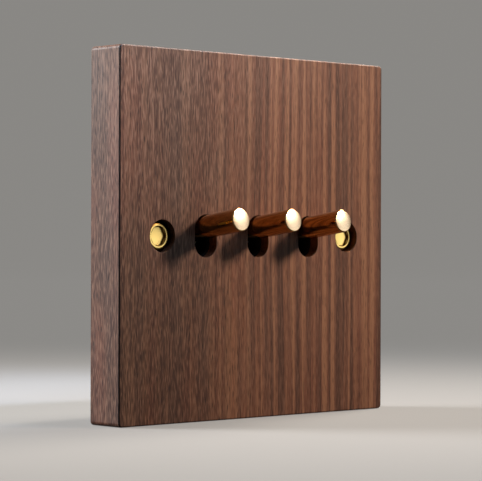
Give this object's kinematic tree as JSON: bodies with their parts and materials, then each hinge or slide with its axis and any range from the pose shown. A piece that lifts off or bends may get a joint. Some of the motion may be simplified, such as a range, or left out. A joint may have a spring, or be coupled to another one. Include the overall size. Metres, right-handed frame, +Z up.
{
  "type": "toggle wall switch",
  "caption": "Toggle wall switch: a square solid wood plate with a row of round brass levers, brass fixing screws and an enclosed rocker mechanism with screw terminals.",
  "frame": {"origin": "middle of the wall plane, where the back of the plate meets the wall", "axes": "+X to the right as seen from the room, +Y into the wall, +Z up"},
  "size_m": [0.086, 0.0408, 0.086],
  "materials": {
    "walnut": "solid walnut, straight grain, oiled satin",
    "polished_brass": "turned and polished brass",
    "contact_brass": "rolled brass strip",
    "zinc_steel": "steel, bright zinc plated",
    "spring_steel": "drawn spring wire",
    "black_plastic": "black moulded thermoplastic",
    "white_plastic": "natural white moulded acetal"
  },
  "bodies": {
    "switch_body": {"face_plate": "walnut", "left_upper_contact": "contact_brass", "left_upper_terminal_screw": "zinc_steel", "left_lower_contact": "contact_brass", "left_lower_terminal_screw": "zinc_steel", "left_common_contact": "contact_brass", "left_common_terminal_screw": "zinc_steel", "centre_upper_contact": "contact_brass", "centre_upper_terminal_screw": "zinc_steel", "centre_lower_contact": "contact_brass", "centre_lower_terminal_screw": "zinc_steel", "centre_common_contact": "contact_brass", "centre_common_terminal_screw": "zinc_steel", "right_upper_contact": "contact_brass", "right_upper_terminal_screw": "zinc_steel", "right_lower_contact": "contact_brass", "right_lower_terminal_screw": "zinc_steel", "right_common_contact": "contact_brass", "right_common_terminal_screw": "zinc_steel", "left_fixing_screw": "polished_brass", "right_fixing_screw": "polished_brass", "mounting_frame": "zinc_steel", "front_housing": "black_plastic", "terminal_base": "black_plastic", "pivot_shaft": "zinc_steel", "frame_screw_top_left": "zinc_steel", "housing_screw_top_left": "zinc_steel", "base_screw_top_left": "zinc_steel", "frame_screw_top_right": "zinc_steel", "housing_screw_top_right": "zinc_steel", "base_screw_top_right": "zinc_steel", "frame_screw_bottom_left": "zinc_steel", "housing_screw_bottom_left": "zinc_steel", "base_screw_bottom_left": "zinc_steel", "frame_screw_bottom_right": "zinc_steel", "housing_screw_bottom_right": "zinc_steel", "base_screw_bottom_right": "zinc_steel"},
    "left_toggle": {"left_lever": "polished_brass", "left_rocker": "white_plastic", "left_plunger_spring": "spring_steel"},
    "left_plunger_pin": {"left_plunger": "white_plastic"},
    "left_blade": {"left_contact_blade": "contact_brass"},
    "centre_toggle": {"centre_lever": "polished_brass", "centre_rocker": "white_plastic", "centre_plunger_spring": "spring_steel"},
    "centre_plunger_pin": {"centre_plunger": "white_plastic"},
    "centre_blade": {"centre_contact_blade": "contact_brass"},
    "right_toggle": {"right_lever": "polished_brass", "right_rocker": "white_plastic", "right_plunger_spring": "spring_steel"},
    "right_plunger_pin": {"right_plunger": "white_plastic"},
    "right_blade": {"right_contact_blade": "contact_brass"}
  },
  "joints": [
    {"name": "left_lever_swing", "type": "hinge", "parent": "switch_body", "child": "left_toggle", "pos_m": [-0.0168, 0.0044, 0], "axis": [1, 0, 0], "range_deg": [0, 16.5]},
    {"name": "left_blade_rock", "type": "hinge", "parent": "switch_body", "child": "left_blade", "pos_m": [-0.0168, 0.01355, 0], "axis": [1, 0, 0], "range_deg": [-13.2, 0]},
    {"name": "left_plunger_slide", "type": "slide", "parent": "left_toggle", "child": "left_plunger_pin", "axis": [0, -0.9897, 0.1435], "range_m": [0, 0.0008], "stiffness_N_per_m": 150, "springref_m": -0.001, "deforming": ["left_plunger_spring"]},
    {"name": "centre_lever_swing", "type": "hinge", "parent": "switch_body", "child": "centre_toggle", "pos_m": [0, 0.0044, 0], "axis": [1, 0, 0], "range_deg": [0, 16.5]},
    {"name": "centre_blade_rock", "type": "hinge", "parent": "switch_body", "child": "centre_blade", "pos_m": [0, 0.01355, 0], "axis": [1, 0, 0], "range_deg": [-13.2, 0]},
    {"name": "centre_plunger_slide", "type": "slide", "parent": "centre_toggle", "child": "centre_plunger_pin", "axis": [0, -0.9897, 0.1435], "range_m": [0, 0.0008], "stiffness_N_per_m": 150, "springref_m": -0.001, "deforming": ["centre_plunger_spring"]},
    {"name": "right_lever_swing", "type": "hinge", "parent": "switch_body", "child": "right_toggle", "pos_m": [0.0168, 0.0044, 0], "axis": [1, 0, 0], "range_deg": [0, 16.5]},
    {"name": "right_blade_rock", "type": "hinge", "parent": "switch_body", "child": "right_blade", "pos_m": [0.0168, 0.01355, 0], "axis": [1, 0, 0], "range_deg": [-13.2, 0]},
    {"name": "right_plunger_slide", "type": "slide", "parent": "right_toggle", "child": "right_plunger_pin", "axis": [0, -0.9897, 0.1435], "range_m": [0, 0.0008], "stiffness_N_per_m": 150, "springref_m": -0.001, "deforming": ["right_plunger_spring"]}
  ],
  "couplings": [
    {"joint": "left_blade_rock", "follows": "left_lever_swing", "ratio": -0.8},
    {"joint": "centre_blade_rock", "follows": "centre_lever_swing", "ratio": -0.8},
    {"joint": "right_blade_rock", "follows": "right_lever_swing", "ratio": -0.8}
  ]
}
